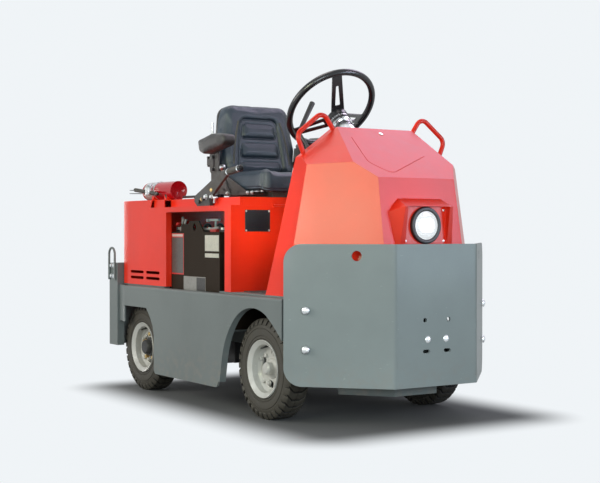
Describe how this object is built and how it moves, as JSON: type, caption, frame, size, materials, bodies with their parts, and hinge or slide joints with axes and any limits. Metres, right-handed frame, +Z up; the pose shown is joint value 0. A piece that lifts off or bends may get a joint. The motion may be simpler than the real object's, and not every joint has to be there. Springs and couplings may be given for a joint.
{
  "type": "airport baggage tug",
  "caption": "Electric baggage tow tractor with folded plate bumper, faceted cowl, side battery bay, suspension seat, steered front wheels and rear pin hitch",
  "frame": {"origin": "on the ground, at the centre of the bounding box in plan", "axes": "+X forward along the length, +Y to the driver's left, +Z up"},
  "size_m": [2.044, 1.032, 1.4696],
  "materials": {
    "body_red": "satin red-orange powder coat on sheet steel",
    "chassis_grey": "semi-gloss grey paint on steel plate",
    "battery_black": "dark brown-black coated steel case",
    "cast_black": "black painted castings and axle steel",
    "rim_grey": "light grey painted steel wheel",
    "tyre_rubber": "black industrial tyre rubber",
    "vinyl_black": "black vinyl upholstery",
    "plastic_black": "black moulded plastic",
    "column_chrome": "bright plated column cover",
    "lamp_glass": "clear lamp lens in a black ring",
    "bottle_red": "gloss red enamel cylinder",
    "pin_steel": "bright steel"
  },
  "bodies": {
    "chassis": {"side_skirts": "chassis_grey", "frame_rails": "chassis_grey", "deck_plates": "chassis_grey", "battery_tray": "chassis_grey", "battery": "battery_black", "front_bumper": "chassis_grey", "bumper_brackets": "chassis_grey", "valance": "chassis_grey", "rear_bumper": "chassis_grey", "tow_loops": "chassis_grey", "rear_hitch": "cast_black", "hitch_pin": "pin_steel", "body_sides": "body_red", "body_rear": "body_red", "pedestal": "body_red", "cowl": "body_red", "lamp_box": "body_red", "headlight": "lamp_glass", "grab_handles": "body_red", "dash": "plastic_black", "steering_column": "column_chrome", "direction_lever": "plastic_black", "pedals": "plastic_black", "parking_brake": "cast_black", "extinguisher": "bottle_red", "bottle_cradle": "cast_black", "front_axle": "cast_black", "rear_axle": "cast_black"},
    "seat_lid": {"seat_deck": "body_red", "seat_frame": "cast_black", "seat_cushion": "vinyl_black", "seat_back": "vinyl_black", "armrests": "vinyl_black"},
    "steering_wheel": {"steering_wheel": "plastic_black"},
    "steer_right": {"knuckle_right": "cast_black"},
    "steer_left": {"knuckle_left": "cast_black"},
    "tie_link": {"tie_rod": "cast_black"},
    "wheel_front_right": {"rim_front_right": "rim_grey", "tyre_front_right": "tyre_rubber"},
    "wheel_front_left": {"rim_front_left": "rim_grey", "tyre_front_left": "tyre_rubber"},
    "wheel_rear_right": {"rim_rear_right": "rim_grey", "tyre_rear_right": "tyre_rubber"},
    "wheel_rear_left": {"rim_rear_left": "rim_grey", "tyre_rear_left": "tyre_rubber"}
  },
  "joints": [
    {"name": "seat_deck_hinge", "type": "hinge", "parent": "chassis", "child": "seat_lid", "pos_m": [0.2553, 0, 0.882], "axis": [0, 1, 0], "range_deg": [0, 30]},
    {"name": "steering_wheel_turn", "type": "hinge", "parent": "chassis", "child": "steering_wheel", "pos_m": [0.2865, 0, 1.311], "axis": [-0.7278, 0, 0.6858], "range_deg": [-360, 360]},
    {"name": "steer_right_turn", "type": "hinge", "parent": "chassis", "child": "steer_right", "pos_m": [0.448, -0.312, 0.2075], "axis": [0, 0, 1], "range_deg": [-30, 30]},
    {"name": "steer_left_turn", "type": "hinge", "parent": "chassis", "child": "steer_left", "pos_m": [0.448, 0.312, 0.2075], "axis": [0, 0, 1], "range_deg": [-30, 30]},
    {"name": "tie_rod_pivot", "type": "hinge", "parent": "steer_right", "child": "tie_link", "pos_m": [0.343, -0.312, 0.192], "axis": [0, 0, 1], "range_deg": [-30, 30]},
    {"name": "wheel_front_right_spin", "type": "hinge", "parent": "steer_right", "child": "wheel_front_right", "pos_m": [0.448, -0.397, 0.2075], "axis": [0, 1, 0], "continuous": true},
    {"name": "wheel_front_left_spin", "type": "hinge", "parent": "steer_left", "child": "wheel_front_left", "pos_m": [0.448, 0.397, 0.2075], "axis": [0, 1, 0], "continuous": true},
    {"name": "wheel_rear_right_spin", "type": "hinge", "parent": "chassis", "child": "wheel_rear_right", "pos_m": [-0.682, -0.397, 0.2075], "axis": [0, 1, 0], "continuous": true},
    {"name": "wheel_rear_left_spin", "type": "hinge", "parent": "chassis", "child": "wheel_rear_left", "pos_m": [-0.682, 0.397, 0.2075], "axis": [0, 1, 0], "continuous": true}
  ],
  "couplings": [
    {"joint": "steer_right_turn", "follows": "steering_wheel_turn", "ratio": 0.083333},
    {"joint": "steer_left_turn", "follows": "steering_wheel_turn", "ratio": 0.083333},
    {"joint": "tie_rod_pivot", "follows": "steering_wheel_turn", "ratio": -0.083333}
  ]
}
